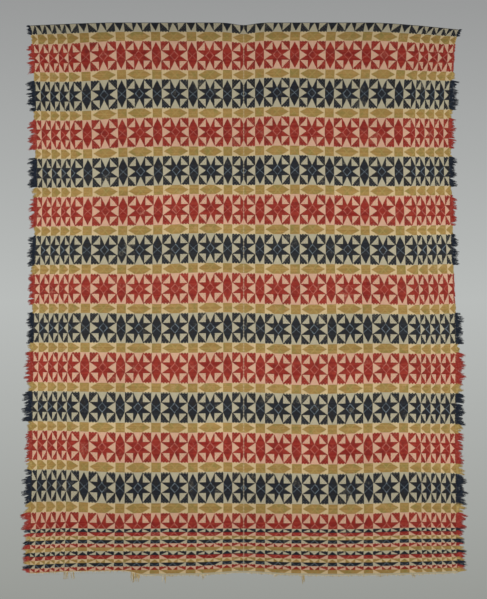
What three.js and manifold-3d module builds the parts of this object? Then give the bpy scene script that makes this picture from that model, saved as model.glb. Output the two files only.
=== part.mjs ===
// A two-panel woven coverlet hung flat in front of a wall. A hanging sleeve sewn to its back, in two
// lengths, holds a round rod, and the rod lies in three open wall brackets. Millimetres, +Z up, +X to
// the right seen from the front, -Y towards the viewer. The origin is on the wall plane, at the middle
// of the centre bracket's back face, level with the rod.
import * as THREE from 'three';
import * as BufferGeometryUtils from 'three/addons/utils/BufferGeometryUtils.js';
import Module from 'manifold-3d';

const wasm = await Module();
wasm.setup();

// Gaps between pieces
const SEAT_GAP = 0.3; // pieces that lie against each other
const SEAM_GAP = 0.4; // fringe sections from their neighbours

// Cloth
const PANEL_WIDTH = 957; // one loom width, from the seam to the selvedge, where it is narrowest
const CLOTH_THICKNESS = 2;
const HEADER_ABOVE_ROD = 21.5; // the cloth's top edge above the rod's top
const TOP_FLARE = 30; // the free top corners spread sideways
const TOP_FLARE_DEPTH = 75;
const FOOT_FLARE = 30; // the cloth is wider at its foot
const CENTRE_DIP = 12; // the top edge sags between the two sleeves
const CENTRE_DIP_HALF_WIDTH = 60;
const CORNER_DROOP = { left: 18, right: 36 }; // past the rod's ends
const FOOT_RISE_AT_SEAM = 22; // the seam draws the bottom edge up
const FOOT_RISE_HALF_WIDTH = 150;
const FOOT_RISE_AT_CORNER = 24;
const SETTLE_DEPTH = 350; // how fast sag and rise fade out away from their edge

// Woven bands, from the top edge down
const TOP_BAND = 44; // the lower part of a star row
const STAR_BAND = 138;
const DIAMOND_BAND = 43;
const STAR_ROWS = 12;
const HALF_STAR_BAND = 69; // the upper half of a star row, above the border
const BORDER_ROW = 17.2; // one narrow row of the bottom border
const BORDER_ROWS = 12;
const END_STRIP = 13.6;

// Edge finishes
const FRINGE_LENGTH = 38;
const FRINGE_NOTCH = 9;
const FRINGE_THICKNESS = 1.6;
const TUFT_PITCH = 22;
const HEM_DEPTH = 12;
const HEM_THICKNESS = 1.6;
const SEAM_WIDTH = 4; // the ridge of whip stitches that joins the panels
const SEAM_THICKNESS = 2.6;

// Rod and its sleeves
const ROD_DIAMETER = 25;
const ROD_SHORT_OF_EDGE = 82; // at each end, where the cloth is narrowest
const ROD_OFF_WALL = 34; // wall plane to the rod's axis
const CAP_WALL = 2;
const CAP_GRIP = 12; // how far a cap covers the rod's end
const CAP_END = 4;
const SLEEVE_THICKNESS = 1.5;
const SLEEVE_BELOW_HEM = 1.5;
const SLEEVE_BELOW_ROD = 33.5; // its lower seam below the rod's underside
const SLEEVE_CENTRE_GAP = 200; // leaves the rod bare at the centre bracket
const SLEEVE_END_GAP = 8; // from the outer brackets

// Brackets
const CRADLE_WALL = 3.2;
const CRADLE_WIDTH = 16;
const CRADLE_LIP = 4; // the cradle's arms rise this far past the rod's axis
const ARM_HEIGHT = 12;
const PLATE = { width: 36, thickness: 3, aboveRodAxis: 12, belowRodAxis: 66 };
const BRACKET_IN_FROM_ROD_END = 30;
const CLOTH_CLEARANCE = 1; // the cloth's back from the cradles

// Screws
const SCREW = { shank: 4.2, head: 8, headHeight: 2.6, pastPlate: 26, slot: 1.2, slotDepth: 1.1 };
const SCREW_HOLE = 5;
const SCREW_DROPS = { upper: 22, lower: 54 }; // below the rod's axis

// Worked out from the sizes above
const rodRadius = ROD_DIAMETER / 2;
const cradleInner = rodRadius + SEAT_GAP;
const cradleOuter = cradleInner + CRADLE_WALL;
const clothBack = -ROD_OFF_WALL - cradleOuter - CLOTH_CLEARANCE;
const rodLength = 2 * (PANEL_WIDTH - ROD_SHORT_OF_EDGE);
const bracketX = rodLength / 2 - BRACKET_IN_FROM_ROD_END;
const repeat = STAR_BAND + DIAMOND_BAND;
const firstRow = TOP_BAND + DIAMOND_BAND;
const halfStar = firstRow + STAR_ROWS * repeat;
const border = halfStar + HALF_STAR_BAND;
const clothDrop = border + BORDER_ROWS * BORDER_ROW + END_STRIP; // top edge to bottom edge
const topZ = rodRadius + HEADER_ABOVE_ROD;
const SIDES = [['left', -1], ['right', 1]];

// Finishes
const finish = (color, roughness, metalness = 0) =>
  new THREE.MeshStandardMaterial({ color, roughness, metalness });
const star_cloth = finish(0x8f7f66, 0.95);
const navy_yarn = finish(0x242733, 0.95);
const red_yarn = finish(0x84271f, 0.95);
const border_yarn = finish(0x6e4a38, 0.95);
const linen_thread = finish(0xb8a583, 0.9);
const sleeve_cotton = finish(0xd8ccb4, 0.9);
const rod_wood = finish(0xb98f5e, 0.55);
const cap_plastic = finish(0x35322f, 0.5);
const bracket_paint = finish(0xd9d7d1, 0.4, 0.2);
const screw_steel = finish(0x9a9a98, 0.35, 1);

const object = new THREE.Group();

function addPiece(name, geometry, material) {
  const piece = new THREE.Mesh(geometry, material);
  piece.name = name;
  object.add(piece);
}

// ---- the cloth's outline -------------------------------------------------------------------------

const bell = (t) => Math.exp(-t * t);

function easeUp(t) {
  const clamped = Math.min(Math.max(t, 0), 1);
  return clamped * clamped;
}

/** Half the cloth's width at a distance below the top edge. */
function halfWidth(drop) {
  const flare = TOP_FLARE * Math.exp(-drop / TOP_FLARE_DEPTH);
  return PANEL_WIDTH + flare + FOOT_FLARE * (drop / clothDrop) ** 2;
}

/** How far the top edge sags below its level where the rod doesn't hold it. */
function sag(x, sideName) {
  const pastRod = (Math.abs(x) - rodLength / 2) / (halfWidth(0) - rodLength / 2);
  return CENTRE_DIP * bell(x / CENTRE_DIP_HALF_WIDTH) + CORNER_DROOP[sideName] * easeUp(pastRod);
}

/** How far the bottom edge is drawn up. */
function rise(x) {
  const nearCorner = easeUp((Math.abs(x) / PANEL_WIDTH - 0.5) * 2);
  return FOOT_RISE_AT_SEAM * bell(x / FOOT_RISE_HALF_WIDTH) + FOOT_RISE_AT_CORNER * nearCorner;
}

/** The height of a woven row at x. Sag and rise fade out away from the edge that they belong to. */
function clothHeight(x, drop, sideName) {
  const fromTop = Math.exp(-drop / SETTLE_DEPTH);
  const fromFoot = Math.exp((drop - clothDrop) / SETTLE_DEPTH);
  return topZ - drop - sag(x, sideName) * fromTop + rise(x) * fromFoot;
}

/** The point at a share across one panel (0 at the seam, 1 at the selvedge), a drop below the top edge,
 *  and a distance out past that share. */
function clothPoint(sideName, side, across, drop, out = 0) {
  const seamHalf = SEAM_WIDTH / 2 + SEAT_GAP;
  const x = side * (seamHalf + across * (halfWidth(drop) - seamHalf) + out);
  return new THREE.Vector2(x, clothHeight(x, drop, sideName));
}

/** An outline in the X-Z plane made a sheet, from its back face towards the viewer. */
function sheetOf(points, back, thickness) {
  const sheet = new THREE.ExtrudeGeometry(new THREE.Shape(points), {
    depth: thickness,
    bevelEnabled: false,
  });
  return sheet.rotateX(Math.PI / 2).translate(0, back, 0);
}

/** Evenly spaced values from one number to another, both included. */
const steps = (from, to, count) => Array.from({ length: count + 1 }, (_, i) => from + ((to - from) * i) / count);

// Where the two long edges bend, as shares across a panel: near the seam and towards the corner.
const topShares = [
  ...steps(0, (2.4 * CENTRE_DIP_HALF_WIDTH) / PANEL_WIDTH, 8),
  ...steps(rodLength / 2 / PANEL_WIDTH, 1, 6),
];
const bottomShares = [...steps(0, (2 * FOOT_RISE_HALF_WIDTH) / PANEL_WIDTH, 10), ...steps(0.5, 1, 8)];

/** A strip of one panel from the seam to the selvedge, which it follows at the drops given. */
function stripOf(sideName, side, edgeDrops, upperShares, lowerShares) {
  const upper = edgeDrops[0];
  const lower = edgeDrops[edgeDrops.length - 1];
  const at = (share, drop) => clothPoint(sideName, side, share, drop);
  return [
    ...upperShares.slice(0, -1).map((share) => at(share, upper)),
    ...edgeDrops.map((drop) => at(1, drop)),
    ...lowerShares.slice(0, -1).map((share) => at(share, lower)).reverse(),
  ];
}

// ---- the coverlet --------------------------------------------------------------------------------

/** The drops between which each fringe section hangs, one for each star row with its diamond row. */
function fringeSections() {
  const sections = [{ upper: 0, lower: firstRow, yarn: navy_yarn }];
  for (let row = 0; row < STAR_ROWS; row++) {
    const upper = firstRow + row * repeat;
    sections.push({ upper, lower: upper + repeat, yarn: row % 2 ? navy_yarn : red_yarn });
  }
  sections.push({ upper: halfStar, lower: border, yarn: red_yarn });
  sections.push({ upper: border, lower: clothDrop, yarn: border_yarn });
  return sections;
}

/** The drops where one section's tufts meet. */
function tuftDrops({ upper, lower }) {
  const tufts = Math.round((lower - upper) / TUFT_PITCH);
  return steps(upper, lower, tufts);
}

/** One colour section of fringe: a thin strip along the selvedge with a tufted outer edge. */
function fringeOf(sideName, side, section) {
  const drops = tuftDrops(section);
  drops[0] += SEAM_GAP / 2;
  drops[drops.length - 1] -= SEAM_GAP / 2;
  const at = (drop, out) => clothPoint(sideName, side, 1, drop, out);
  const inner = drops.map((drop) => at(drop, SEAT_GAP));
  const outer = drops.flatMap((drop, i) => {
    const notch = at(drop, FRINGE_LENGTH - FRINGE_NOTCH);
    return i ? [at((drop + drops[i - 1]) / 2, FRINGE_LENGTH), notch] : [notch];
  });
  const back = clothBack - (CLOTH_THICKNESS - FRINGE_THICKNESS) / 2;
  return sheetOf([...inner, ...outer.reverse()], back, FRINGE_THICKNESS);
}

const hemBack = clothBack + SEAT_GAP + HEM_THICKNESS;
const selvedgeDrops = [...new Set(fringeSections().flatMap(tuftDrops))];
const hems = {
  top: { drops: [0, HEM_DEPTH], shares: topShares },
  bottom: { drops: [clothDrop - HEM_DEPTH, clothDrop], shares: bottomShares },
};
for (const [name, side] of SIDES) {
  const panel = stripOf(name, side, selvedgeDrops, topShares, bottomShares);
  addPiece(`${name}_panel`, sheetOf(panel, clothBack, CLOTH_THICKNESS), star_cloth);
  for (const [where, { drops, shares }] of Object.entries(hems)) {
    const hem = stripOf(name, side, drops, shares, shares);
    addPiece(`${name}_${where}_hem`, sheetOf(hem, hemBack, HEM_THICKNESS), star_cloth);
  }
  fringeSections().forEach((section, i) => {
    const number = String(i + 1).padStart(2, '0');
    addPiece(`${name}_fringe_${number}`, fringeOf(name, side, section), section.yarn);
  });
}

function seamStitching() {
  const half = SEAM_WIDTH / 2;
  const top = clothHeight(0, 0, 'left');
  const foot = clothHeight(0, clothDrop, 'left');
  const corners = [[-half, top], [-half, foot], [half, foot], [half, top]];
  const outline = corners.map(([x, z]) => new THREE.Vector2(x, z));
  const back = clothBack + (SEAM_THICKNESS - CLOTH_THICKNESS) / 2;
  return sheetOf(outline, back, SEAM_THICKNESS);
}
addPiece('seam_stitching', seamStitching(), linen_thread);

// ---- sleeves and rod -----------------------------------------------------------------------------

/** A section in the Y-Z plane run along X from one place to another. */
function runAlongX(shape, from, to) {
  const run = new THREE.ExtrudeGeometry(shape, { depth: to - from, bevelEnabled: false, curveSegments: 12 });
  const turn = new THREE.Matrix4().makeBasis(
    new THREE.Vector3(0, 1, 0),
    new THREE.Vector3(0, 0, 1),
    new THREE.Vector3(1, 0, 0),
  );
  return run.applyMatrix4(turn).translate(from, 0, 0);
}

/** Where a line from a point outside a circle about the rod's axis touches it, as an angle. */
function touchAngle(y, z, radius, turn) {
  return Math.atan2(z, y) + turn * Math.acos(radius / Math.hypot(y, z));
}

/** A loop that lies flat against the cloth in front and passes over the rod's top and back. */
function sleeveLoop(frontY, top, foot, radius, LoopClass) {
  const loop = new LoopClass();
  const over = touchAngle(frontY, top, radius, -1);
  const under = touchAngle(frontY, -foot, radius, 1);
  loop.moveTo(frontY, top);
  loop.lineTo(frontY, -foot);
  loop.absarc(0, 0, radius, under, over, false);
  loop.closePath();
  return loop;
}

function sleeveSection() {
  const top = clothHeight(SLEEVE_CENTRE_GAP / 2, HEM_DEPTH, 'left') - SLEEVE_BELOW_HEM;
  const foot = rodRadius + SLEEVE_BELOW_ROD;
  const front = clothBack + SEAT_GAP + ROD_OFF_WALL;
  const inner = front + SLEEVE_THICKNESS;
  const around = rodRadius + SEAT_GAP;
  const trim = SLEEVE_THICKNESS;
  const section = sleeveLoop(front, top, foot, around + trim, THREE.Shape);
  section.holes.push(sleeveLoop(inner, top - 2 * trim, foot - 4 * trim, around, THREE.Path));
  return section;
}

const sleeveOuterEnd = bracketX - CRADLE_WIDTH / 2 - SLEEVE_END_GAP;
for (const [name, side] of SIDES) {
  const ends = [side * (SLEEVE_CENTRE_GAP / 2), side * sleeveOuterEnd].sort((a, b) => a - b);
  const sleeve = runAlongX(sleeveSection(), ...ends).translate(0, -ROD_OFF_WALL, 0);
  addPiece(`${name}_sleeve`, sleeve, sleeve_cotton);
}

const rod = new THREE.CylinderGeometry(rodRadius, rodRadius, rodLength, 32);
addPiece('rod', rod.rotateZ(Math.PI / 2).translate(0, -ROD_OFF_WALL, 0), rod_wood);

/** A cup that slips over the rod's end, turned about X with its closed end outwards. */
function rodCap(side) {
  const bore = rodRadius + SEAT_GAP;
  const outer = bore + CAP_WALL;
  const floor = SEAT_GAP;
  const profile = [
    [0, floor],
    [bore, floor],
    [bore, -CAP_GRIP],
    [outer, -CAP_GRIP],
    [outer, floor + CAP_END / 2],
    [outer - CAP_END / 2, floor + CAP_END],
    [0, floor + CAP_END],
  ].map(([radius, along]) => new THREE.Vector2(radius, along));
  const cap = new THREE.LatheGeometry(profile, 32).rotateZ((-side * Math.PI) / 2);
  return cap.translate((side * rodLength) / 2, -ROD_OFF_WALL, 0);
}
for (const [name, side] of SIDES) addPiece(`rod_cap_${name}`, rodCap(side), cap_plastic);

// ---- brackets and screws -------------------------------------------------------------------------

function solidOf(geometry) {
  const bare = geometry.clone();
  bare.deleteAttribute('normal');
  bare.deleteAttribute('uv');
  const merged = BufferGeometryUtils.mergeVertices(bare, 1e-4);
  return new wasm.Manifold(
    new wasm.Mesh({
      numProp: 3,
      vertProperties: merged.attributes.position.array,
      triVerts: new Uint32Array(merged.index.array),
    }),
  );
}

function geometryOf(solid) {
  const mesh = solid.getMesh();
  const geometry = new THREE.BufferGeometry();
  geometry.setAttribute('position', new THREE.BufferAttribute(new Float32Array(mesh.vertProperties), 3));
  geometry.setIndex(new THREE.BufferAttribute(new Uint32Array(mesh.triVerts), 1));
  const faceted = geometry.toNonIndexed();
  faceted.computeVertexNormals();
  return faceted;
}

/** The arm and the open-topped cradle, as one section. */
function cradleSection() {
  const plateFront = ROD_OFF_WALL - PLATE.thickness;
  const section = new THREE.Shape();
  section.moveTo(-cradleInner, CRADLE_LIP);
  section.lineTo(-cradleOuter, CRADLE_LIP);
  section.lineTo(-cradleOuter, 0);
  section.absarc(0, 0, cradleOuter, -Math.PI, -Math.asin(ARM_HEIGHT / 2 / cradleOuter), false);
  section.lineTo(plateFront + PLATE.thickness / 2, -ARM_HEIGHT / 2);
  section.lineTo(plateFront + PLATE.thickness / 2, CRADLE_LIP);
  section.lineTo(cradleInner, CRADLE_LIP);
  section.lineTo(cradleInner, 0);
  section.absarc(0, 0, cradleInner, 0, -Math.PI, true);
  section.closePath();
  return section;
}

function bracket(x) {
  const arm = runAlongX(cradleSection(), x - CRADLE_WIDTH / 2, x + CRADLE_WIDTH / 2);
  arm.translate(0, -ROD_OFF_WALL, 0);
  const height = PLATE.aboveRodAxis + PLATE.belowRodAxis;
  const plate = new THREE.BoxGeometry(PLATE.width, PLATE.thickness, height);
  plate.translate(x, -PLATE.thickness / 2, PLATE.aboveRodAxis - height / 2);
  let solid = solidOf(arm).add(solidOf(plate));
  for (const drop of Object.values(SCREW_DROPS)) {
    const hole = new THREE.CylinderGeometry(SCREW_HOLE / 2, SCREW_HOLE / 2, 4 * PLATE.thickness, 24);
    solid = solid.subtract(solidOf(hole.translate(x, 0, -drop)));
  }
  return geometryOf(solid);
}

/** A round-headed slotted screw, its head on the plate's front face. */
function screw(x, z) {
  const underHead = SEAT_GAP;
  const shank = SCREW.shank / 2;
  const head = SCREW.head / 2;
  const tip = -PLATE.thickness - SCREW.pastPlate;
  const profile = [
    [0, tip],
    [shank, tip + 3 * shank],
    [shank, underHead],
    [head, underHead],
    [head, underHead + SCREW.headHeight * 0.45],
    [head * 0.72, underHead + SCREW.headHeight * 0.88],
    [0, underHead + SCREW.headHeight],
  ].map(([radius, along]) => new THREE.Vector2(radius, along));
  const body = new THREE.LatheGeometry(profile, 24);
  const slot = new THREE.BoxGeometry(SCREW.slot, 2 * SCREW.slotDepth, 2 * SCREW.head);
  slot.translate(0, underHead + SCREW.headHeight, 0);
  const cut = geometryOf(solidOf(body).subtract(solidOf(slot)));
  return cut.rotateX(Math.PI).translate(x, -PLATE.thickness, z);
}

const brackets = [['left', -bracketX], ['centre', 0], ['right', bracketX]];
for (const [name, x] of brackets) {
  addPiece(`bracket_${name}`, bracket(x), bracket_paint);
  for (const [where, drop] of Object.entries(SCREW_DROPS)) {
    addPiece(`screw_${name}_${where}`, screw(x, -drop), screw_steel);
  }
}

export default object;
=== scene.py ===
"""A star-and-diamond woven coverlet of two panels, hung flat on a rod in a sleeve behind it."""

import math
import random

import bmesh
import bpy
from mathutils import Matrix, Vector, noise


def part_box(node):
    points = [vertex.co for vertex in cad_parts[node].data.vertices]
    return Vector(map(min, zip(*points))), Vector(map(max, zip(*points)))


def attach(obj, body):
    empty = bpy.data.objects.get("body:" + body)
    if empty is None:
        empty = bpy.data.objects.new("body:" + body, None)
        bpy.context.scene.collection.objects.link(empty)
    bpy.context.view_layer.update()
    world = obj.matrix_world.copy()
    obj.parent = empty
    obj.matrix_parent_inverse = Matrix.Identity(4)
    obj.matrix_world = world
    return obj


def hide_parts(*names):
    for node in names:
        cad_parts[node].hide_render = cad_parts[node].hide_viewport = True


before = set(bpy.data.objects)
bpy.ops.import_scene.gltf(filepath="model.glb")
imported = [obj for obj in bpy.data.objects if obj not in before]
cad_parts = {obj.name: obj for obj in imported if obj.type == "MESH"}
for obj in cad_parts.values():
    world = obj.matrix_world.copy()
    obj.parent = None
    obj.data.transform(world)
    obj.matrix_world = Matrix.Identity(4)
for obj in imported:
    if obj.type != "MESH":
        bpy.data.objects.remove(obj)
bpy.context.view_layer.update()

scene = bpy.context.scene
MM = 0.001

# ---- sizes, in metres ------------------------------------------------------------------------------

SIDES = {"left": -1, "right": 1}
PANEL = {side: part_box(f"{side}_panel") for side in SIDES}
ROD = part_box("rod")
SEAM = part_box("seam_stitching")
ROD_RADIUS = (ROD[1].z - ROD[0].z) / 2
ROD_AXIS = (ROD[0] + ROD[1]) / 2
ROD_END = ROD[1].x
CLOTH_BACK = PANEL["left"][1].y
CLOTH_THICK = PANEL["left"][1].y - PANEL["left"][0].y
CLOTH_MID = CLOTH_BACK - CLOTH_THICK / 2
CLOTH_TOP = PANEL["left"][1].z

# Woven bands, from the top edge down
TOP_BAND = 44 * MM
STAR_BAND = 138 * MM
DIAMOND_BAND = 43 * MM
STAR_ROWS = 12
HALF_STAR_BAND = 69 * MM
BORDER_ROW = 17.2 * MM
BORDER_ROWS = 12
END_STRIP = 9 * MM  # the rest of the plain strip is turned under
REPEAT = STAR_BAND + DIAMOND_BAND
FIRST_ROW = TOP_BAND + DIAMOND_BAND
HALF_STAR = FIRST_ROW + STAR_ROWS * REPEAT
BORDER = HALF_STAR + HALF_STAR_BAND
CLOTH_DROP = BORDER + BORDER_ROWS * BORDER_ROW + END_STRIP

# Warp blocks, from the seam out to the selvedge
SEAM_STAR = 52 * MM
LENS = 42.2 * MM
STAR = 119.2 * MM
LENSES = 5
HALF_STAR_WIDTH = 57 * MM
NARROW_STAR = 44 * MM
NARROW_OUTER_SHARE = 0.53
PANEL_WIDTH = 957 * MM

# How the cloth hangs
TOP_FLARE = 30 * MM
TOP_FLARE_DEPTH = 75 * MM
FOOT_FLARE = 30 * MM
CENTRE_DIP = 12 * MM
CENTRE_DIP_HALF_WIDTH = 60 * MM
CORNER_DROOP = {"left": 15 * MM, "right": 34 * MM}
CORNER_DROOP_DEPTH = 125 * MM
SHOULDER = {"left": 0.60, "right": 0.58}  # how far out from the seam the top edge starts to droop
FOOT_RISE_AT_SEAM = 13 * MM
FOOT_RISE_HALF_WIDTH = 150 * MM
FOOT_RISE_AT_CORNER = {"left": -13 * MM, "right": 12 * MM}
DEEPER_TURN = 22 * MM  # the left foot hem takes in more of the border from here out
DEEPER_TURN_FROM = 0.42
DEEPER_TURN_BY = 0.54
SETTLE_DEPTH = 350 * MM
CURL_FROM = 80 * MM  # the corners start to stand off this far inside the rod's ends
SLEEVE_SAG = 8 * MM  # the sleeve's top seam follows the drooping corners no further than this
# How its rows and edges have moved since it was woven
ROWS_DRAWN_UP = 20 * MM  # the middle rows, beaten closer than those at the foot
WAIST = 6.5 * MM  # drawn in above the middle and eased out below it
WAIST_TOP = 0.2
WAIST_HALF = 0.85
LEFT_EDGE_SLIP = 15 * MM
RIGHT_EDGE_LIFT = 5 * MM
LEFT_FOOT_LIFT = 14 * MM  # the left edge rides up again just above the border
LEFT_FOOT_LIFT_AT = 2.13
LEFT_FOOT_LIFT_REACH = 0.24
LIFT_BY_SEAM = 8 * MM
LIFT_BY_SEAM_AT = -0.13, 2.05  # across and down
LIFT_BY_SEAM_REACH = 0.12, 0.27
LEFT_WARP_SHIFT = 4.5  # millimetres to the right, in the left panel's inner half
LEFT_WARP_SHIFT_AT = -0.26
RIGHT_WARP_SHIFT = 3.0  # millimetres to the left, near the right edge
WARP_LEAN = 3.5 * MM
TOP_RIGHT_EASE = 6.5 * MM  # the right top corner is stretched outwards
# Slow ripples of the rows up and down, of the warp sideways, and of the cloth out from the wall:
# how far in millimetres, how fast across, how fast down, and where they start
ROW_RIPPLES = ((3.2, 5.1, 1.9, 0), (2.0, 11, -3.7, 1.3))
WARP_RIPPLES = ((2.2, 2.0, 3.3, 0), (1.2, 0, 9, 0.7))
CLOTH_WAVES = ((2.6, 13.5, 0.9, 0), (1.7, 23, -1.3, 2.1), (1.1, 2.2, 4.3, 0))
MEAN_STAND_OFF = 2.2  # millimetres
PUCKER = 0.8
PUCKER_PITCH = 57 * MM
CORNER_CURL = 5.0
SEAM_HALF_GAP = 0.15 * MM


def smoothstep(value, low, high):
    t = min(max((value - low) / (high - low), 0), 1)
    return t * t * (3 - 2 * t)


def bell(t):
    return math.exp(-t * t)


def ripple(ripples, x, drop):
    return sum(size * math.sin(a * x + d * drop + start) for size, a, d, start in ripples)


def half_width(drop):
    """Half the cloth's width at a distance below its top edge."""
    flare = TOP_FLARE * math.exp(-drop / TOP_FLARE_DEPTH)
    below = min(max(drop - WAIST_TOP, 0), 2 * WAIST_HALF)
    waist = WAIST * math.sin(math.pi * below / WAIST_HALF)
    return PANEL_WIDTH + flare - waist + FOOT_FLARE * (drop / CLOTH_DROP) ** 2


def height(x, drop):
    """The height of a woven row, which sags where the rod ends and rises at the foot's corners."""
    side = "left" if x < 0 else "right"
    shoulder = SHOULDER[side]
    past_shoulder = min(max((abs(x) - shoulder) / (half_width(0) - shoulder), 0), 1)
    near_corner = min(max(2 * abs(x) / PANEL_WIDTH - 1, 0), 1)
    dip = CENTRE_DIP * bell(x / CENTRE_DIP_HALF_WIDTH)
    droop = CORNER_DROOP[side] * past_shoulder**1.4
    rise = FOOT_RISE_AT_SEAM * bell(x / FOOT_RISE_HALF_WIDTH)
    rise += FOOT_RISE_AT_CORNER[side] * near_corner**2
    down = max(drop, 0)
    sag = dip * math.exp(-down / SETTLE_DEPTH) + droop * math.exp(-down / CORNER_DROOP_DEPTH)
    return CLOTH_TOP - drop - sag + rise * math.exp((down - CLOTH_DROP) / SETTLE_DEPTH)


def foot_drop(side, across):
    """How far down a panel its foot is folded, which is further up near the left corner."""
    turned = DEEPER_TURN * smoothstep(across, DEEPER_TURN_FROM, DEEPER_TURN_BY)
    return CLOTH_DROP - (turned if side == "left" else 0)


def wander(x, drop):
    """The slow up-and-down run of the woven rows, and the sideways run of the warp."""
    loose = smoothstep(drop, 0.0, 0.25) * smoothstep(CLOTH_DROP - drop, 0.0, 0.25)
    up = ripple(ROW_RIPPLES, x, drop)
    along = ripple(WARP_RIPPLES, x, drop)
    share = min(max(drop / BORDER, 0), 1)
    drawn_up = ROWS_DRAWN_UP * math.sin(math.pi * share**0.8)
    beside = bell((x - LIFT_BY_SEAM_AT[0]) / LIFT_BY_SEAM_REACH[0])
    level = bell((drop - LIFT_BY_SEAM_AT[1]) / LIFT_BY_SEAM_REACH[1])
    drawn_up += LIFT_BY_SEAM * beside * level
    eased = LEFT_WARP_SHIFT * bell((x - LEFT_WARP_SHIFT_AT) / 0.12)
    eased -= RIGHT_WARP_SHIFT * smoothstep(x, 0.6, 0.85)
    slip = LEFT_EDGE_SLIP * (0.15 + math.cos(2 * math.pi * (share - 0.2) / 1.1))
    slip *= smoothstep(drop, 0.0, 0.1)
    slip -= LEFT_FOOT_LIFT * bell((drop - LEFT_FOOT_LIFT_AT) / LEFT_FOOT_LIFT_REACH)
    slip *= smoothstep(-x, 0.5, 0.9)
    lift = RIGHT_EDGE_LIFT * math.sin(math.pi * share) * smoothstep(x, 0.6, 0.9)
    lean = -WARP_LEAN * math.cos(2.1 * (drop - 0.1)) * smoothstep(drop, 0.0, 0.1)
    lean += TOP_RIGHT_EASE * smoothstep(x, 0.35, 0.6) * smoothstep(0.32 - drop, 0.0, 0.15)
    return (along + eased) * loose * MM + lean, up * loose * MM + drawn_up - slip - lift


def billow(x, drop):
    """How far the cloth stands in front of its plane: soft upright waves that open towards the foot,
    small puckers beside the seam, and corners that curl a little past the rod's ends."""
    hanging = smoothstep(drop, 0.10, 1.1)
    wave = ripple(CLOTH_WAVES, x, drop)
    pucker = PUCKER * math.sin(2 * math.pi * drop / PUCKER_PITCH) * bell(x / 0.035)
    pucker *= smoothstep(drop, 0.1, 0.3)
    past_rod = smoothstep(abs(x), ROD_END - CURL_FROM, half_width(0))
    corner = CORNER_CURL * past_rod * math.exp(-max(drop, 0) / 0.30)
    return ((MEAN_STAND_OFF + wave) * hanging + pucker + corner) * MM


def cloth_point(side, across, drop, out=0.0, behind=0.0):
    """A place on the hung cloth: a distance across one panel from the seam, and one below the top edge.
    out leads on past the selvedge, and behind leads back from the cloth's middle."""
    share = across / PANEL_WIDTH
    x = SIDES[side] * (SEAM_HALF_GAP + share * (half_width(drop) - SEAM_HALF_GAP) + out)
    along, up = wander(x, drop)
    away_from_seam = smoothstep(abs(x), 0.0, 0.12)
    return Vector((x + along * away_from_seam, CLOTH_MID - billow(x, drop) + behind, height(x, drop) + up))


# ---- small tools -----------------------------------------------------------------------------------


def linear(code):
    """An sRGB hex colour as the linear colour that a shader takes."""
    channels = [int(code[i : i + 2], 16) / 255 for i in (1, 3, 5)]
    return tuple(c / 12.92 if c <= 0.04045 else ((c + 0.055) / 1.055) ** 2.4 for c in channels) + (1.0,)


def put(tree, kind, *values, out=0, at=None, **settings):
    """Adds a node with its settings and links, and gives back one of its outputs."""
    node = tree.nodes.new("ShaderNode" + kind)
    for name, setting in settings.items():
        setattr(node, name, setting)
    for key, value in [*enumerate(values), *(at or {}).items()]:
        if isinstance(value, bpy.types.NodeSocket):
            tree.links.new(value, node.inputs[key])
        elif value is not None:
            node.inputs[key].default_value = value
    return node.outputs[out]


def maths(tree, operation, *values, **settings):
    return put(tree, "Math", *values, operation=operation, **settings)


def choose(tree, share, low, high):
    """Between two numbers."""
    return put(tree, "Mix", share, at={2: low, 3: high})


def blend(tree, share, low, high, **settings):
    """Between two colours."""
    return put(tree, "Mix", share, data_type="RGBA", out=2, at={6: low, 7: high}, **settings)


def mottle(tree, place, scale, detail, roughness=None):
    at = {"Vector": place, "Scale": scale, "Detail": detail, "Roughness": roughness}
    return put(tree, "TexNoise", at=at)


def new_material(name):
    material = bpy.data.materials.new(name)
    material.use_nodes = True
    material.node_tree.nodes.clear()
    return material, material.node_tree


def finish_with(tree, shader):
    tree.links.new(shader, tree.nodes.new("ShaderNodeOutputMaterial").inputs["Surface"])


def make_piece(name, bm, materials, smooth_angle=None):
    mesh = bpy.data.meshes.new(name)
    bm.to_mesh(mesh)
    bm.free()
    for material in materials:
        mesh.materials.append(material)
    if smooth_angle is not None:
        mesh.shade_smooth()
        mesh.set_sharp_from_angle(angle=math.radians(smooth_angle))
    piece = bpy.data.objects.new(name, mesh)
    scene.collection.objects.link(piece)
    return piece


def stands_for(piece, body, slot, *nodes):
    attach(piece, body)
    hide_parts(*nodes)
    return piece


# ---- the camera ------------------------------------------------------------------------------------

VIEW_DISTANCE = 7.5
VIEW_HEIGHT = 2.755  # how much of the wall's height the camera takes in at the cloth
ABOVE_CLOTH = 0.1035  # wall seen above the cloth's top edge
CAMERA_ASIDE = -0.8 * MM
EYE_LEVEL = CLOTH_TOP + ABOVE_CLOTH - VIEW_HEIGHT / 2


def set_camera():
    data = bpy.data.cameras.new("camera")
    data.sensor_width = 36
    data.lens = data.sensor_width * VIEW_DISTANCE / VIEW_HEIGHT
    camera = bpy.data.objects.new("camera", data)
    camera.location = (CAMERA_ASIDE, PANEL["left"][0].y - VIEW_DISTANCE, EYE_LEVEL)
    camera.rotation_euler = (math.pi / 2, 0, 0)
    scene.collection.objects.link(camera)
    scene.camera = camera


set_camera()

# ---- the woven cloth's material --------------------------------------------------------------------

# A star's middle, its rays and its corner squares each take about a third of its half-width.
THIRD = 1 / 3
RAY_WIDTH = 0.36
UP_WEDGE = 0.35  # where the pale wedge between two upright rays starts
SIDE_WEDGE = 0.42  # and between two that point sideways
POINT_END = 0.94  # where a lens or a diamond comes to its point
# Bare warp beside the seam and along the selvedge, and navy binding on the top edge, in millimetres
SEAM_MARGIN = 1.0
EDGE_MARGIN = 3.0
TOP_BINDING = 1.0
CORNER_FULLNESS = 0.075  # how far the dotted corners fill past their diagonal
TOOTH = 0.045  # how deep the teeth are where the dotted corners end
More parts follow.
